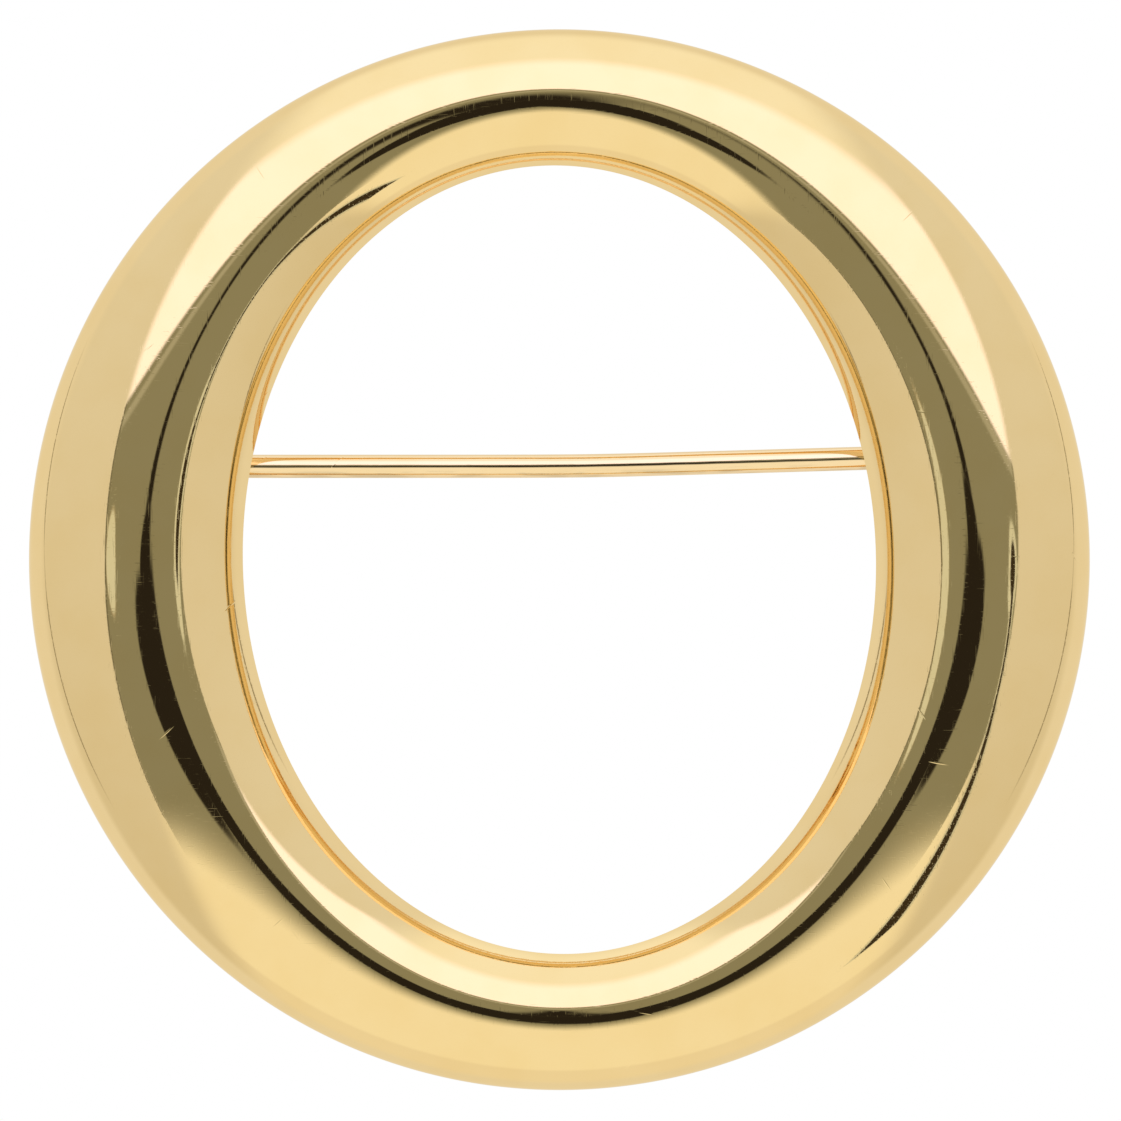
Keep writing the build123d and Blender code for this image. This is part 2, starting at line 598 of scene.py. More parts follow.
@dataclass(frozen=True)
class Grain:
    """Noise on a piece's own coordinates, for one kind of mark on the metal.

    Its scale counts waves in a metre, and stretch is the share of it along each axis. Where it has levels,
    the marks come up between them and the metal is plain below.
    """

    scale: float
    detail: float = 1.0
    stretch: tuple[float, float, float] = (1, 1, 1)
    levels: tuple[float, float] | None = None

    def marks(self, tree: bpy.types.NodeTree) -> Field:
        """Adds the noise to a material.

        Args:
            tree: The material's tree.

        Returns:
            A field from 0 to 1.
        """
        mapping = tree.nodes.new("ShaderNodeMapping")
        mapping.inputs["Scale"].default_value = tuple(self.scale * share for share in self.stretch)
        tree.links.new(own_coordinates(tree), mapping.inputs["Vector"])
        noise = tree.nodes.new("ShaderNodeTexNoise")
        noise.inputs["Scale"].default_value = 1.0
        noise.inputs["Detail"].default_value = self.detail
        tree.links.new(mapping.outputs[0], noise.inputs["Vector"])
        plain = Field(tree, noise.outputs[0])
        return plain.ramp(*self.levels) if self.levels else plain


@dataclass(frozen=True)
class GoldFinish:
    """Polished gold: a clear mirror with the faint marks of the polishing cloth and of wear. Where asked, it
    also has painted shade: a darker colour on the side that faces -Y.
    """

    name: str
    colour: Colour
    edge_tint: Colour = (1.0, 0.93, 0.78)
    roughness: float = 0.028
    smudges: Grain = Grain(260, 3, levels=(0.5, 0.8))
    smudge_roughness: float = 0.022
    patina: Grain = Grain(420, 4, levels=(0.35, 0.75))
    patina_tint: Colour = (0.985, 0.97, 0.93)
    waves: Grain = Grain(190)
    wave_depth: float = 1.6e-6
    hairlines: tuple[Grain, Grain] = (
        Grain(26000, 1, (1, 0.03, 1), (0.62, 0.78)), Grain(26000, 1, (0.04, 1, 1), (0.64, 0.8))
    )
    hairline_depth: float = 0.22e-6
    nick_turns: tuple[float, ...] = (35, -48, 80)
    nick_cell: tuple[float, float, float] = (0.3 * MM, 3.6 * MM, 30 * MM)
    nick_rarity: float = 0.94
    nick_depth: float = 2.4e-6
    satin_below: float = 2.3 * MM
    satin_roughness: float = 0.2
    satin_spread: float = 0.1
    satin_patches: Grain = Grain(9000, 2, (0.12, 1, 1))
    brushing: Grain = Grain(15000, 2, (0.06, 1, 1))
    brushing_depth: float = 0.8e-6
    # Painted shade: darker streaks on the side that faces -Y, and the share of the plain colour that they
    # keep (0 leaves them out).
    side_shade_streaks: Grain = Grain(4200, 3, (0.12, 1, 1), (0.44, 0.6))
    painted_side_shade: float = 0.0

    def material(self) -> bpy.types.Material:
        """Makes the finish as a node material.

        Returns:
            The material.
        """
        material = bpy.data.materials.new(self.name)
        material.use_nodes = True
        tree = material.node_tree
        metal = tree.nodes["Principled BSDF"]
        metal.inputs["Metallic"].default_value = 1.0
        metal.inputs["Specular Tint"].default_value = (*self.edge_tint, 1)
        _, _, height = parts(tree, own_coordinates(tree))
        satin = height.ramp(self.satin_below + 0.3 * MM, self.satin_below - 0.1 * MM)
        polish = self.smudges.marks(tree) * self.smudge_roughness + self.roughness
        dull = self.satin_patches.marks(tree) * self.satin_spread
        dull = dull + (self.satin_roughness - self.satin_spread / 2)
        Field.feed(tree, metal.inputs["Roughness"], satin.between(polish, dull))
        aged = tuple(part * tint for part, tint in zip(self.colour, self.patina_tint))
        colour = layered(tree, self.colour, self.patina.marks(tree), aged)
        # Painted shade: the side that faces -Y is darkened in streaks.
        if self.painted_side_shade:
            colour = layered(tree, colour, self._side_shade(tree), tuple(part * self.painted_side_shade for part in self.colour))
        tree.links.new(colour, metal.inputs["Base Color"])
        self._relief(tree, metal, satin)
        return material

    def _side_shade(self, tree: bpy.types.NodeTree) -> Field:
        """Finds the painted shade, in streaks on the side that faces -Y.

        Args:
            tree: The material's tree.

        Returns:
            Share of painted shade in each place.
        """
        facing = tree.nodes.new("ShaderNodeNewGeometry")
        _, side, _ = parts(tree, facing.outputs["Normal"])
        return self.side_shade_streaks.marks(tree) * side.ramp(-0.3, -0.62)

    def _relief(self, tree: bpy.types.NodeTree, metal: bpy.types.Node, satin: Field) -> None:
        """Adds the slow waves left by hand polishing, the hairlines, the nicks and the brushed back.

        Args:
            tree: The material's tree.
            metal: Its shader.
            satin: Share of satin metal in each place.
        """
        along, across = (hairlines.marks(tree) for hairlines in self.hairlines)
        nicks = largest(*(self._nicks(tree, turn) for turn in self.nick_turns))
        normal = None
        for height, depth in (
            (self.waves.marks(tree), self.wave_depth),
            (along + across, self.hairline_depth),
            (nicks, self.nick_depth),
            (self.brushing.marks(tree) * satin, self.brushing_depth),
        ):
            normal = self._bump(tree, height, depth, normal)
        tree.links.new(normal, metal.inputs["Normal"])

    def _nicks(self, tree: bpy.types.NodeTree, turn: float) -> Field:
        """Adds sparse short scratches that run one way.

        Args:
            tree: The material's tree.
            turn: Which way they run, in degrees from the object's own Y.

        Returns:
            A field that is 1 in a scratch.
        """
        mapping = tree.nodes.new("ShaderNodeMapping")
        mapping.vector_type = "TEXTURE"
        mapping.inputs["Rotation"].default_value = (0, 0, math.radians(turn))
        mapping.inputs["Scale"].default_value = self.nick_cell
        tree.links.new(own_coordinates(tree), mapping.inputs["Vector"])
        cells = tree.nodes.new("ShaderNodeTexVoronoi")
        cells.inputs["Scale"].default_value = 1.0
        tree.links.new(mapping.outputs[0], cells.inputs["Vector"])
        chance = tree.nodes.new("ShaderNodeSeparateColor")
        tree.links.new(cells.outputs["Color"], chance.inputs[0])
        chosen = Field(tree, chance.outputs[0]).ramp(self.nick_rarity, self.nick_rarity + 0.005)
        return Field(tree, cells.outputs["Distance"]).ramp(0.16, 0.04) * chosen

    @staticmethod
    def _bump(tree: bpy.types.NodeTree, height: Field, depth: float,
              below: bpy.types.NodeSocket | None) -> bpy.types.NodeSocket:
        """Adds one layer of relief.

        Args:
            tree: The material's tree.
            height: The layer's height, 0 to 1.
            depth: The depth in metres that 1 stands for.
            below: The normal of the layer below, or None.

        Returns:
            The normal with the layer on it.
        """
        bump = tree.nodes.new("ShaderNodeBump")
        bump.inputs["Distance"].default_value = depth
        Field.feed(tree, bump.inputs["Height"], height)
        if below is not None:
            tree.links.new(below, bump.inputs["Normal"])
        return bump.outputs[0]


@dataclass
class RingBody:
    """The domed ring with its rim and recessed back, soldered up as one hollow body."""

    material: bpy.types.Material
    radius: float = 21.5 * MM
    opening_half_width: float = 12.8 * MM
    opening_half_height: float = 15.96 * MM
    opening_tilt: float = math.radians(1.94)
    rim_height: float = 2.8 * MM
    dome_rise_side: float = 3.1 * MM
    dome_rise_end: float = 2.13 * MM
    crest_share_side: float = 0.41
    crest_share_end: float = 0.42
    crest_share_diagonal: float = 0.373
    flank_sweep: float = math.radians(50)
    neck_width_side: float = 0.9 * MM
    neck_width_end: float = 0.64 * MM
    neck_end: float = math.radians(59)
    undercut: float = math.radians(10)
    recess: float = 2.1 * MM
    rim_wall: float = 0.7 * MM
    rim_round: float = 0.15 * MM
    foot_trim: float = 0.03 * MM
    edge_round: float = 0.12 * MM
    vent_radius: float = 0.45 * MM
    vent_lead: float = 0.4 * MM
    vent_depth: float = 1.5 * MM
    columns: int = 480

    @staticmethod
    def _oval(azimuth: Field, half_width: Field, half_height: Field) -> Field:
        """Distance from the centre to an oval in one direction, counted from its short axis."""
        across, along = azimuth.cos() / half_width, azimuth.sin() / half_height
        return (across * across + along * along).math("INVERSE_SQRT")

    def build(self) -> bpy.types.Object:
        """Makes the ring.

        Returns:
            The finished ring.
        """
        skin = RuledSurface(
            "ring",
            {
                "Ring radius": self.radius,
                "Opening half width": self.opening_half_width,
                "Opening half height": self.opening_half_height,
                "Opening tilt": self.opening_tilt,
                "Rim height": self.rim_height,
                "Dome rise side": self.dome_rise_side,
                "Dome rise end": self.dome_rise_end,
                "Crest share side": self.crest_share_side,
                "Crest share end": self.crest_share_end,
                "Crest share diagonal": self.crest_share_diagonal,
                "Flank sweep": self.flank_sweep,
                "Neck width side": self.neck_width_side,
                "Neck width end": self.neck_width_end,
                "Neck end": self.neck_end,
                "Undercut": self.undercut,
                "Recess": self.recess,
                "Rim wall": self.rim_wall,
                "Rim round": self.rim_round,
                "Foot trim": self.foot_trim,
                "Edge round": self.edge_round,
            },
            self.material,
            self.columns,
        )
        self._back(skin, self._front(skin))
        middle = (self.opening_half_height + self.radius - self.rim_wall) / 2
        bottom, top = self.recess - self.vent_lead, self.recess + self.vent_depth
        return skin.finish(Bore(0, -middle, bottom, top, self.vent_radius))

    def _turned(self, skin: RuledSurface, rows: int, azimuth: Field, reach: "Field | float",
                height: "Field | float") -> None:
        """Adds a patch given by its distance from the axis and its height.

        Args:
            skin: The surface.
            rows: How many faces the patch has along its rule.
            azimuth: Direction, from the oval's short axis.
            reach: Distance from the ring's axis.
            height: Height above the resting plane.
        """
        turn = azimuth + skin.size("Opening tilt")
        skin.patch(rows, turn.cos() * reach, turn.sin() * reach, height)

    def _front(self, skin: RuledSurface) -> Field:
        """Adds the outer wall, the dome, its steep neck and the wall of the opening.

        Args:
            skin: The surface.

        Returns:
            Distance from the axis to the foot of the opening's wall.
        """
        azimuth = skin.across * TURN
        radius, rim = skin.size("Ring radius"), skin.size("Rim height")
        half_width, half_height = skin.size("Opening half width"), skin.size("Opening half height")
        edge = self._oval(azimuth, half_width, half_height)
        neck = self._oval(
            azimuth, half_width + skin.size("Neck width side"), half_height + skin.size("Neck width end")
        )
        sideways = azimuth.cos() * azimuth.cos()
        rise = sideways.between(skin.size("Dome rise end"), skin.size("Dome rise side"))
        off_axis = (azimuth * 2.0).sin() * (azimuth * 2.0).sin()
        at_side, at_end = skin.size("Crest share side"), skin.size("Crest share end")
        diagonal = skin.size("Crest share diagonal") - (at_side + at_end) / 2.0
        share = sideways.between(at_end, at_side) + off_axis * diagonal
        crest = share * (radius - neck) + neck
        foot = skin.size("Rim round") - skin.size("Foot trim")

        self._turned(skin, 3, azimuth, radius, skin.along.between(foot, rim))
        climb = skin.along * (math.pi / 2)
        self._turned(skin, 48, azimuth, crest + (radius - crest) * climb.cos(), rim + rise * climb.sin())
        sweep = skin.size("Flank sweep")
        fall = skin.along * sweep
        reach = (crest - neck) / sweep.sin()
        self._turned(skin, 36, azimuth, crest - reach * fall.sin(), rim + rise * fall.cos())

        steep_from = (rise / reach * sweep.math("TANGENT")).math("ARCTANGENT")
        steep_to = skin.size("Neck end")
        bend = (neck - edge) / (steep_to.sin() - steep_from.sin())
        slope = skin.along.between(steep_from, steep_to)
        start = rim + rise * sweep.cos()
        self._turned(
            skin, 14, azimuth, neck - bend * (slope.sin() - steep_from.sin()),
            start - bend * (steep_from.cos() - slope.cos()),
        )
        brink = start - bend * (steep_from.cos() - steep_to.cos())
        lower = skin.size("Recess") + skin.size("Edge round")
        lean = skin.size("Undercut").math("TANGENT")
        wall_foot = edge + (brink - lower) * lean
        self._turned(skin, 6, azimuth, skin.along.between(edge, wall_foot), skin.along.between(brink, lower))
        return wall_foot

    def _back(self, skin: RuledSurface, edge: Field) -> None:
        """Adds the opening's lower edge, the recessed back plate, the skirt and the foot.

        Args:
            skin: The surface.
            edge: Distance from the axis to the foot of the opening's wall.
        """
        azimuth = skin.across * TURN
        recess, edge_round = skin.size("Recess"), skin.size("Edge round")
        rim_round, radius = skin.size("Rim round"), skin.size("Ring radius")
        foot = rim_round - skin.size("Foot trim")
        skirt = radius - skin.size("Rim wall")
        quarter = skin.along * (math.pi / 2)
        self._turned(
            skin, 5, azimuth, edge + edge_round * (1.0 - quarter.cos()),
            recess + edge_round * (1.0 - quarter.sin()),
        )
        self._turned(skin, 4, azimuth, skin.along.between(edge + edge_round, skirt), recess)
        self._turned(skin, 3, azimuth, skirt, skin.along.between(recess, foot))
        dip = skin.along * (foot / rim_round).math("ARCSINE")
        self._turned(
            skin, 4, azimuth, skirt + rim_round * (1.0 - dip.cos()), foot - rim_round * dip.sin()
        )
        full = (foot / rim_round).math("ARCSINE")
        inner = skirt + rim_round * (1.0 - full.cos())
        outer = radius - rim_round * (1.0 - full.cos())
        self._turned(skin, 2, azimuth, skin.along.between(inner, outer), 0.0)
        back_up = full - dip
        self._turned(
            skin, 4, azimuth, radius - rim_round * (1.0 - back_up.cos()), foot - rim_round * back_up.sin()
        )


@dataclass
class PinSeat:
    """Places and sizes that the hinge, the stem and the catch share."""

    ring: RingBody
    stem_offset: float = 3.8 * MM
    axis_height: float = 0.95 * MM
    plate_thickness: float = 0.25 * MM
    plate_margin: float = 0.7 * MM
    plate_edge: float = 0.06 * MM
    weld: float = 0.1 * MM
    bend_x: float = 1.2 * MM
    bend_slope: float = math.tan(math.radians(1.67))

    @property
    def plate_bottom(self) -> float:
        """Height of the small plates' lower face."""
        return self.ring.recess - self.plate_thickness

    def middle(self, side: Side) -> float:
        """Middle of the back plate, level with the stem.

        Args:
            side: Which side of the ring.

        Returns:
            Its place along X.
        """
        ring = self.ring
        opening = ring.opening_half_width * math.sqrt(1 - (self.stem_offset / ring.opening_half_height) ** 2)
        skirt = math.sqrt((ring.radius - ring.rim_wall) ** 2 - self.stem_offset**2)
        return side.value * (opening + skirt) / 2

    def stem_at(self, x: float) -> float:
        """Place of the stem's centre line along Y."""
        return self.stem_offset + max(x - self.bend_x, 0) * self.bend_slope

    def plate(self, name: str, x: float, y: float, length: float, width: float,
              material: bpy.types.Material) -> bpy.types.Object:
        """Small rounded plate soldered under the back of the ring.

        Args:
            name: The object's name.
            x: Its middle along X.
            y: Its middle along Y.
            length: Its size along X.
            width: Its size along Y.
            material: The finish.

        Returns:
            The plate.
        """
        thickness = self.plate_thickness + self.weld
        corners = rounded_rectangle(length, width, 0.8 * self.plate_margin)
        place = Matrix.Translation((x, y, self.plate_bottom + thickness / 2))
        return Outline((corners,), thickness, self.plate_edge).cut(name, place, material)


@dataclass
class Hinge:
    """Two ears on a plate, with the rivet that the stem turns on."""

    seat: PinSeat
    gold: bpy.types.Material
    wire: bpy.types.Material
    rivet_radius: float = 0.3 * MM
    head_radius: float = 0.5 * MM
    head_height: float = 0.2 * MM
    eye_radius: float = 0.75 * MM
    eye_gap: float = 0.15 * MM
    ear_gap: float = 1.2 * MM
    ear_thickness: float = 0.5 * MM
    ear_edge: float = 0.07 * MM
    shank_edge: float = 0.02 * MM
    head_edge: float = 0.09 * MM
    fixed_gap: float = 0.02 * MM

    def axis(self, along: float = 0.0) -> Matrix:
        """Upright plane square to the hinge axis.

        Args:
            along: How far along the axis it lies from the hinge's middle.

        Returns:
            The plane's place, with its own x to the ring's right and its own y upwards.
        """
        place = Matrix.Translation(
            (self.seat.middle(Side.LEFT), self.seat.stem_offset + along, self.seat.axis_height)
        )
        return place @ Matrix.Rotation(math.pi / 2, 4, "X")

    def ears(self) -> bpy.types.Object:
        """Makes the two ears and their plate.

        Returns:
            The finished piece.
        """
        top = self.eye_radius + self.eye_gap + self.seat.weld / 2
        loop = tuple(arc(self.eye_radius, 180, 360)) + ((self.eye_radius, top), (-self.eye_radius, top))
        hole = circle(self.rivet_radius + self.fixed_gap)
        shape = Outline((loop, hole), self.ear_thickness, self.ear_edge)
        reach = (self.ear_gap + self.ear_thickness) / 2
        pieces = [
            shape.cut(f"ear_{side.name.lower()}", self.axis(side.value * reach), self.gold) for side in Side
        ]
        length = 2 * (self.eye_radius + self.seat.plate_margin)
        width = self.ear_gap + 2 * (self.ear_thickness + self.seat.plate_margin)
        plate = self.seat.plate(
            "ear_plate", self.seat.middle(Side.LEFT), self.seat.stem_offset, length, width, self.gold
        )
        return joined("hinge_ears", [plate, *pieces])

    def rivet(self) -> bpy.types.Object:
        """Makes the rivet with its two heads.

        Returns:
            The finished rivet.
        """
        reach = self.ear_gap / 2 + self.ear_thickness + self.fixed_gap
        shank = Outline((circle(self.rivet_radius),), 2 * reach + self.head_height, self.shank_edge)
        head = Outline((circle(self.head_radius),), self.head_height, self.head_edge)
        pieces = [shank.cut("shank", self.axis(), self.wire)]
        for side in Side:
            place = self.axis(side.value * (reach + self.head_height / 2))
            pieces.append(head.cut("rivet_head", place, self.wire))
        return joined("hinge_rivet_gold", pieces)


@dataclass
class Catch:
    """C-shaped hook on a plate, which holds the stem's point."""

    seat: PinSeat
    gold: bpy.types.Material
    length: float = 2.0 * MM
    bore: float = 0.45 * MM
    wall: float = 0.3 * MM
    mouth: float = 0.72 * MM
    edge: float = 0.06 * MM

    def hook(self) -> bpy.types.Object:
        """Makes the hook and its plate.

        Returns:
            The finished piece.
        """
        outer = self.bore + self.wall
        neck = self.seat.plate_bottom - self.seat.axis_height + self.seat.weld / 2
        lip_in = math.degrees(math.asin(self.mouth / 2 / self.bore))
        lip_out = math.degrees(math.asin(self.mouth / 2 / outer))
        shoulder = math.degrees(math.asin(0.5))
        loop = (
            arc(self.bore, -90 + lip_in, 270 - lip_in, steps=72)
            + arc(outer, 270 - lip_out, 90 + shoulder)
            + [(-outer / 2, neck), (outer / 2, neck)]
            + arc(outer, 90 - shoulder, -90 + lip_out)
        )
        x = self.seat.middle(Side.RIGHT)
        y = self.seat.stem_at(x)
        upright = Matrix(((0, 0, 1, x), (1, 0, 0, y), (0, 1, 0, self.seat.axis_height), (0, 0, 0, 1)))
        body = Outline((tuple(loop),), self.length, self.edge).cut("c_hook", upright, self.gold)
        margin = 2 * self.seat.plate_margin
        plate = self.seat.plate("catch_plate", x, y, self.length + margin, 2 * outer + margin, self.gold)
        return joined("catch_hook", [plate, body])


@dataclass
class PinStem:
    """The wire that crosses the opening, with its eye round the rivet and its point in the catch."""

    seat: PinSeat
    hinge: Hinge
    catch: Catch
    material: bpy.types.Material
    radius: float = 0.475 * MM
    point_radius: float = 0.12 * MM
    point_length: float = 5.2 * MM
    point_overhang: float = 0.8 * MM
    eye_wall: float = 0.4 * MM
    eye_thickness: float = 1.1 * MM
    eye_edge: float = 0.08 * MM
    eye_clearance: float = 0.05 * MM
    bend_ease: float = 1.75 * MM

    def build(self) -> bpy.types.Object:
        """Makes the wire and its eye as one piece.

        Returns:
            The finished stem.
        """
        bore = self.hinge.rivet_radius + self.eye_clearance
        loops = circle(bore + self.eye_wall), circle(bore)
        eye = Outline(loops, self.eye_thickness, self.eye_edge)
        ring = eye.cut("stem_eye", self.hinge.axis(), self.material)
        stem = joined("pin_stem_gold", [self._wire(bore), ring], unite=True)
        shade(stem)
        return stem

    def _wire(self, bore: float) -> bpy.types.Object:
        """Makes the tapered wire by rule, from inside the eye's wall to its blunt point.

        Args:
            bore: Radius of the eye's hole.

        Returns:
            The wire.
        """
        start = self.seat.middle(Side.LEFT) + bore + self.eye_wall / 2
        tip = self.seat.middle(Side.RIGHT) + self.catch.length / 2 + self.point_overhang
        skin = RuledSurface(
            "wire",
            {
                "Start": start,
                "Tip": tip,
                "Radius": self.radius,
                "Point radius": self.point_radius,
                "Point length": self.point_length,
                "Offset": self.seat.stem_offset,
                "Height": self.seat.axis_height,
                "Bend": self.seat.bend_x,
                "Bend slope": self.seat.bend_slope,
                "Bend ease": self.bend_ease,
            },
            self.material,
            columns=72,
        )
        around = skin.across * TURN
        start_at, tip_at = skin.size("Start"), skin.size("Tip")
        nose = skin.size("Point radius")

        def tube(rows: int, x: Field, radius: Field) -> None:
            """Adds a patch of the wire.

            Args:
                rows: How many faces it has along the wire.
                x: Its rule along X.
                radius: The wire's radius there.
            """
            beyond = x - skin.size("Bend")
            ease = skin.size("Bend ease")
            eased = ((beyond * beyond + ease * ease).sqrt() + beyond) / 2.0
            y = skin.size("Offset") + eased * skin.size("Bend slope")
            skin.patch(rows, x, y + radius * around.cos(), skin.size("Height") + radius * around.sin())

        taper = tip_at - skin.size("Point length")
        tube(60, skin.along.between(start_at, taper), skin.size("Radius"))
        tube(24, skin.along.between(taper, tip_at - nose), skin.along.between(skin.size("Radius"), nose))
        quarter = skin.along * (math.pi / 2)
        tube(8, tip_at - nose + nose * quarter.sin(), nose * quarter.cos())
        tube(2, start_at, skin.along * skin.size("Radius"))
        return skin.finish()


@dataclass(frozen=True)
class Sight:
    """Where a reflection looks: the parts of its direction, or of its place on the board overhead."""

    x: Field
    y: Field
    z: "Field | float"

    @classmethod
    def far(cls, tree: bpy.types.NodeTree) -> "Sight":
        """Looks in every direction, at what is far away.

        Args:
            tree: The world's tree.

        Returns:
            The sight.
        """
        direction = tree.nodes.new("ShaderNodeTexCoord")
        return cls(*parts(tree, direction.outputs["Generated"]))

    @classmethod
    def on_board(cls, tree: bpy.types.NodeTree, height: float) -> "Sight":
        """Looks at every place on a board that hangs overhead.

        Args:
            tree: The board's material.
            height: The board's height above the brooch.

        Returns:
            The sight, in heights right and up from the board's middle.
        """
        x, y, _ = parts(tree, own_coordinates(tree))
        return cls(x / height, y / height, 1.0)


@dataclass(frozen=True)
class Edge:
    """One side of a panel, which lies where x*X + y*Y + z*Z of the direction is positive.

    A fold bends the side at the tent's middle: it adds a share of the size of X or of Y.
    """

    x: float
    y: float
    z: float
    soft: float
    fold_x: float = 0.0
    fold_y: float = 0.0

    def mask(self, eye: Sight) -> Field:
        """Finds the panel's side of this edge.

        Args:
            eye: Where the reflection looks.

        Returns:
            A field from 0 to 1.
        """
        depth = eye.x * self.x + eye.y * self.y + eye.z * self.z
        if self.fold_x:
            depth = depth + eye.x.abs() * self.fold_x
        if self.fold_y:
            depth = depth + eye.y.abs() * self.fold_y
        return depth.ramp(-self.soft, self.soft)


@dataclass(frozen=True)
class Panel:
    """A flat part of the tent or of the board, bounded by its edges."""

    name: str
    colour: tuple[float, float, float]
    edges: tuple[Edge, ...]

    def mask(self, eye: Sight) -> Field:
        """Finds this panel.

        Args:
            eye: Where the reflection looks.

        Returns:
            A field from 0 to 1.
        """
        first, *others = self.edges
        share = first.mask(eye)
        for edge in others:
            share = share * edge.mask(eye)
        return share


@dataclass(frozen=True)
class Oval:
    """A soft oval on the board."""

    centre: Point
    half: Point
    soft: float = 0.1

    def mask(self, eye: Sight) -> Field:
        """Finds this oval.

        Args:
            eye: Where the reflection looks.

        Returns:
            A field that is 1 inside and 0 outside.
        """
        dx = (eye.x - self.centre[0]) / self.half[0]
        dy = (eye.y - self.centre[1]) / self.half[1]
        return (dx * dx + dy * dy).sqrt().ramp(1 + self.soft, 1 - self.soft)


@dataclass(frozen=True)
class Bar:
    """A straight bar on the board, with its own half-width at each end."""

    start: Point
    end: Point
    half: Point
    soft: float = 0.006

    def mask(self, eye: Sight) -> Field:
        """Finds this bar.

        Args:
            eye: Where the reflection looks.

        Returns:
            A field that is 1 inside and 0 outside.
        """
        run, rise = self.end[0] - self.start[0], self.end[1] - self.start[1]
        length = math.hypot(run, rise)
        dx, dy = eye.x - self.start[0], eye.y - self.start[1]
        along = (dx * run + dy * rise) / length**2
        away = (dx * -rise + dy * run).abs() / length
        width = along.math("MINIMUM", 1.0).math("MAXIMUM", 0.0).between(*self.half)
        inside = (away - width).ramp(self.soft, -self.soft)
        soft_end = self.soft / length
        return inside * along.ramp(-soft_end, soft_end) * along.ramp(1 + soft_end, 1 - soft_end)


@dataclass(frozen=True)
class Mark:
    """Shapes of one colour on the board. Some of them reach past the edges of its card."""

    name: str
    colour: Colour
    shapes: tuple[Oval | Bar, ...]
    strength: float = 1.0
    past_card: bool = False

    def mask(self, eye: Sight) -> Field:
        """Place of any of the shapes."""
        return largest(*(shape.mask(eye) for shape in self.shapes))


@dataclass(frozen=True)
class TableLine:
    """The thin dark line where the table ends, on one side of the brooch."""

    side: Side
    slope: float
    drop: float
    half_width: float = 0.01

    def mask(self, eye: Sight) -> Field:
        """Finds this line.

        Args:
            eye: Where the reflection looks.

        Returns:
            A field from 0 to 1.
        """
        line = (eye.z + eye.y * self.slope + self.drop).abs().ramp(2 * self.half_width, self.half_width)
        return line * (eye.x * float(self.side.value)).ramp(0.85, 0.93)


@dataclass(frozen=True)
class LightTent:
    """The white tent round the brooch: its walls, the front panel and the soft light behind."""

    wall: Colour = (0.76, 0.765, 0.74)
    wall_front: Colour = (0.71, 0.70, 0.635)
    wall_back: Colour = (0.805, 0.83, 0.845)
    floor: Colour = (0.84, 0.85, 0.84)
    wall_fade: tuple[float, float] = (0.1, 0.8)
    floor_fade: tuple[float, float] = (-0.02, -0.3)
    backdrop: Colour = (0.985, 0.985, 0.985)
    panels: tuple[Panel, ...] = (
        Panel("back wall", (1.01, 1.06, 1.1), (
            Edge(1, 0.6, 0.15, 0.12), Edge(-1, 0.6, 0.15, 0.12), Edge(0, 1, 0, 0.1), Edge(0, 0.5, 1, 0.3),
        )),
        Panel("front apron", (0.89, 0.875, 0.79), (
            Edge(0, -1, 0, 0.1, fold_x=-0.45), Edge(1, -0.757, 0.195, 0.12),
            Edge(-1, -0.757, 0.195, 0.12), Edge(0, -0.35, 1, 0.2),
        )),
        Panel("front panel", (0.965, 0.965, 0.87), (
            Edge(0, -1, -0.12, 0.06, fold_x=-0.45), Edge(1, -0.757, 0.195, 0.09),
            Edge(-1, -0.757, 0.195, 0.09), Edge(0, 0.27, 1, 0.06),
        )),
        Panel("soft light", (1.3, 1.3, 1.65), (
            Edge(0, 1, -0.1, 0.012), Edge(1, 0.465, 0.385, 0.04),
            Edge(-1, 0.47, 0.515, 0.04), Edge(0, -0.8, 1, 0.17),
        )),
    )
    table_lines: tuple[TableLine, ...] = (
        TableLine(Side.LEFT, 0.44, 0.115), TableLine(Side.RIGHT, 0.49, 0.09)
    )
    table_line_colour: Colour = (0.33, 0.31, 0.26)

    def build(self) -> None:
        """Makes the tent as the world's light."""
        world = bpy.data.worlds.new("light_tent")
        bpy.context.scene.world = world
        world.use_nodes = True
        tree = world.node_tree
        tree.nodes.clear()
        eye = Sight.far(tree)
        overlap, full = self.wall_fade
        light = layered(tree, self.wall, eye.y.ramp(overlap, -full), self.wall_front)
        light = layered(tree, light, eye.y.ramp(-overlap, full), self.wall_back)
        light = layered(tree, light, eye.z.ramp(*self.floor_fade), self.floor)
        for panel in self.panels:
            light = layered(tree, light, panel.mask(eye), panel.colour)
        left, right = (line.mask(eye) for line in self.table_lines)
        fading = eye.y.abs().ramp(0.02, 0.1).between(0.35, 1.0)
        light = layered(tree, light, (left + right) * fading, self.table_line_colour)
        seen = tree.nodes.new("ShaderNodeLightPath")
        light = layered(tree, light, Field(tree, seen.outputs["Is Camera Ray"]), self.backdrop)
        background = tree.nodes.new("ShaderNodeBackground")
        tree.links.new(light, background.inputs["Color"])
        output = tree.nodes.new("ShaderNodeOutputWorld")
        tree.links.new(background.outputs[0], output.inputs["Surface"])


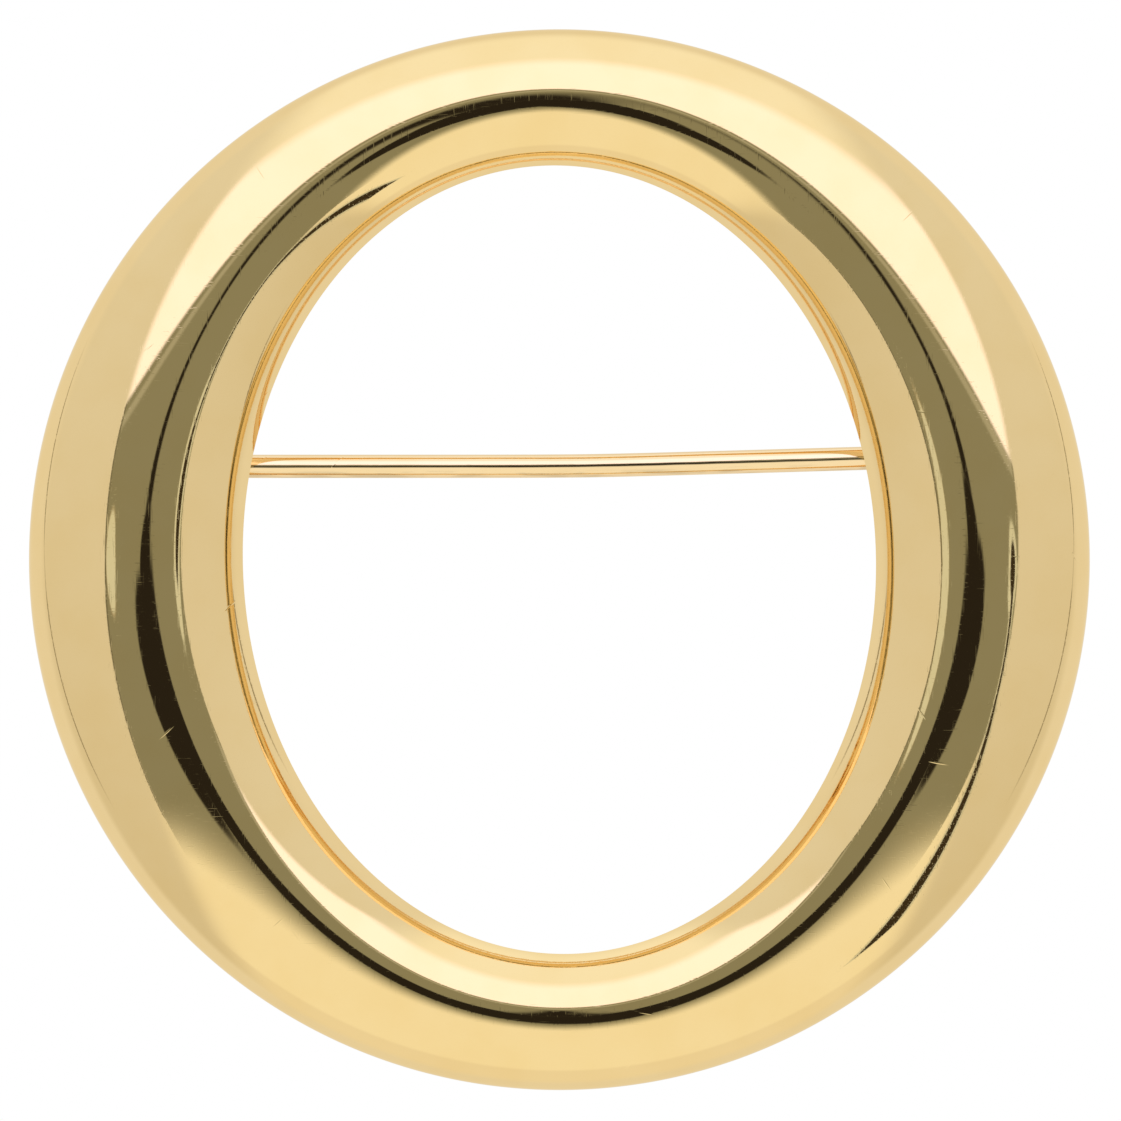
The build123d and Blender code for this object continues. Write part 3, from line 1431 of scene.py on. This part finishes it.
@dataclass(frozen=True)
class Board:
    """The grey card round the camera, near enough that each part of the ring mirrors it differently.

    Lengths on it are shares of its height above the brooch. Its marks lie one over the other in their order.
    """

    height: float = 0.402
    half_size: float = 1.5
    card: Panel = Panel("grey card", (0.272, 0.284, 0.232), (
        Edge(-0.07, -1, 0.27, 0.012, fold_x=-0.07), Edge(1, -0.055, 0.53, 0.008, fold_y=0.135),
        Edge(-1, 0.3, 0.617, 0.01), Edge(0, 1, 0.215, 0.085, fold_x=0.5),
    ))
    marks: tuple[Mark, ...] = (
        Mark("strip", (0.46, 0.48, 0.45), (
            Bar((-0.53, 0.23), (0.03, 0.23), (0.012, 0.013), 0.008),
            Bar((0.02, 0.23), (0.64, 0.16), (0.013, 0.016), 0.008),
        ), strength=0.8),
        Mark("seam", (0.16, 0.16, 0.125), (
            Bar((-0.55, 0.27), (-0.53, 0.0), (0.008, 0.009)),
            Bar((-0.53, 0.01), (-0.635, -0.5), (0.012, 0.007)),
        ), past_card=True),
        Mark("rim of the pale spot", (0.4, 0.38, 0.3), (Oval((-0.452, 0.004), (0.073, 0.083), 0.06),)),
        Mark("pale spot", (0.70, 0.76, 0.74), (Oval((-0.452, 0.004), (0.066, 0.076), 0.06),)),
        Mark("gap round the stand", (0.70, 0.76, 0.74), (
            Oval((0.525, -0.022), (0.066, 0.078), 0.08),
            Bar((0.53, -0.03), (0.54, -0.25), (0.03, 0.026)),
            Bar((0.538, -0.24), (0.93, -1.2), (0.026, 0.115), 0.01),
        ), past_card=True),
        Mark("stand", (0.045, 0.035, 0.022), (
            Oval((0.527, -0.022), (0.036, 0.047)),
            Bar((0.53, -0.03), (0.54, -0.25), (0.016, 0.014), 0.005),
            Bar((0.539, -0.24), (0.925, -1.185), (0.014, 0.085)),
        )),
        Mark("camera", (0.022, 0.019, 0.016), (
            Bar((0.006, 0.03), (0.012, 0.19), (0.036, 0.012), 0.012),
            Oval((-0.08, -0.09), (0.1, 0.088)),
            Oval((0.077, -0.074), (0.088, 0.084)),
            Oval((0.0, -0.01), (0.08, 0.05)),
        )),
    )

    def build(self) -> bpy.types.Object:
        """Makes the board, which only reflections see.

        Returns:
            The stage piece.
        """
        half = self.half_size * self.height
        board = flat_square("overhead_board", half, self.height, self._material(), upwards=False)
        board.visible_camera = False
        return board

    def _material(self) -> bpy.types.Material:
        """Lays the marks on the card, with nothing round them.

        Returns:
            An evenly lit material that is clear past the card and its marks.
        """
        material = bpy.data.materials.new("grey_card")
        material.use_nodes = True
        material.cycles.emission_sampling = "NONE"
        tree = material.node_tree
        tree.nodes.clear()
        eye = Sight.on_board(tree, self.height)
        light, cover = self.card.colour, self.card.mask(eye)
        for mark in self.marks:
            share = mark.mask(eye)
            light = layered(tree, light, share * mark.strength, mark.colour)
            if mark.past_card:
                cover = largest(cover, share)
        glow = tree.nodes.new("ShaderNodeEmission")
        tree.links.new(light, glow.inputs["Color"])
        clear = tree.nodes.new("ShaderNodeBsdfTransparent")
        both = tree.nodes.new("ShaderNodeMixShader")
        Field.feed(tree, both.inputs[0], cover)
        tree.links.new(clear.outputs[0], both.inputs[1])
        tree.links.new(glow.outputs[0], both.inputs[2])
        output = tree.nodes.new("ShaderNodeOutputMaterial")
        tree.links.new(both.outputs[0], output.inputs["Surface"])
        return material


@dataclass(frozen=True)
class Table:
    """The lit white floor, far enough below the brooch's clear shelf that the open stem shows too."""

    half_size: float = 0.6
    drop: float = 38 * MM
    glow: float = 1.0

    def build(self) -> bpy.types.Object:
        """Makes the table top.

        Returns:
            The stage piece.
        """
        top = flat_square("table_top", self.half_size, -self.drop, self._white())
        top.visible_glossy = False
        return top

    def _white(self) -> bpy.types.Material:
        """Makes an even white light, as a light table gives.

        Returns:
            The material.
        """
        material = bpy.data.materials.new("table_white")
        material.use_nodes = True
        tree = material.node_tree
        tree.nodes.clear()
        glow = tree.nodes.new("ShaderNodeEmission")
        glow.inputs["Strength"].default_value = self.glow
        output = tree.nodes.new("ShaderNodeOutputMaterial")
        tree.links.new(glow.outputs[0], output.inputs["Surface"])
        return material


@dataclass(frozen=True)
class Camera:
    """Camera straight above the brooch, as far away as the reflections say.

    The ring's radius in the photo is in pixels, as the photo's width is.
    """

    ring: RingBody
    distance: float = 0.4
    ring_radius_in_photo: float = 530.4
    aside: Point = (0.045 * MM, -0.033 * MM)

    def build(self) -> bpy.types.Object:
        """Makes the camera and puts it in the scene.

        Returns:
            The camera.
        """
        data = bpy.data.cameras.new("camera")
        data.sensor_fit = "HORIZONTAL"
        reach = self.ring.radius / (2 * self.ring_radius_in_photo / PHOTO_WIDTH)
        data.angle = 2 * math.atan(reach / (self.distance - self.ring.rim_height))
        data.clip_start = 0.01
        data.clip_end = 20
        camera = bpy.data.objects.new("camera", data)
        camera.location = (*self.aside, self.distance)
        bpy.context.scene.collection.objects.link(camera)
        bpy.context.scene.camera = camera
        return camera


def place_in_frame(piece: bpy.types.Object, body: Body, slot: Slot, *nodes: str) -> None:
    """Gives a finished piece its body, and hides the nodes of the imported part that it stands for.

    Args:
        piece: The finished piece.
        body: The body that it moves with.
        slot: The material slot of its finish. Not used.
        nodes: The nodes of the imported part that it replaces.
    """
    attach(piece, body.value)
    if nodes:
        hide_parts(*nodes)
    log.info("%s: %d faces, on %s", piece.name, len(piece.data.polygons), body.value)


def main() -> None:
    """Builds the brooch, its light and its camera."""
    logging.basicConfig(level=logging.INFO, format="%(name)s %(message)s")
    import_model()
    gold = GoldFinish("polished_gold_finish", (0.95, 0.715, 0.365)).material()
    wire = GoldFinish(
        "gold_wire_finish", (0.985, 0.75, 0.455), roughness=0.07, satin_below=-1.0,
        # The wire gets painted shade on the side that faces -Y.
        waves=Grain(1100, 1, (0.35, 1, 1)), wave_depth=15e-6, painted_side_shade=0.8,
    ).material()
    ring = RingBody(gold)
    Camera(ring).build()
    LightTent().build()
    Board().build()
    Table().build()
    bpy.context.scene.view_settings.view_transform = "Standard"

    seat = PinSeat(ring)
    hinge = Hinge(seat, gold, wire)
    catch = Catch(seat, gold)
    place_in_frame(ring.build(), Body.BROOCH, Slot.RING, "ring_body")
    place_in_frame(hinge.ears(), Body.BROOCH, Slot.RING)
    place_in_frame(catch.hook(), Body.BROOCH, Slot.RING)
    place_in_frame(hinge.rivet(), Body.BROOCH, Slot.WIRE, "hinge_rivet")
    place_in_frame(PinStem(seat, hinge, catch, wire).build(), Body.PIN, Slot.WIRE, "pin_stem")


if __name__ == "__main__":
    main()
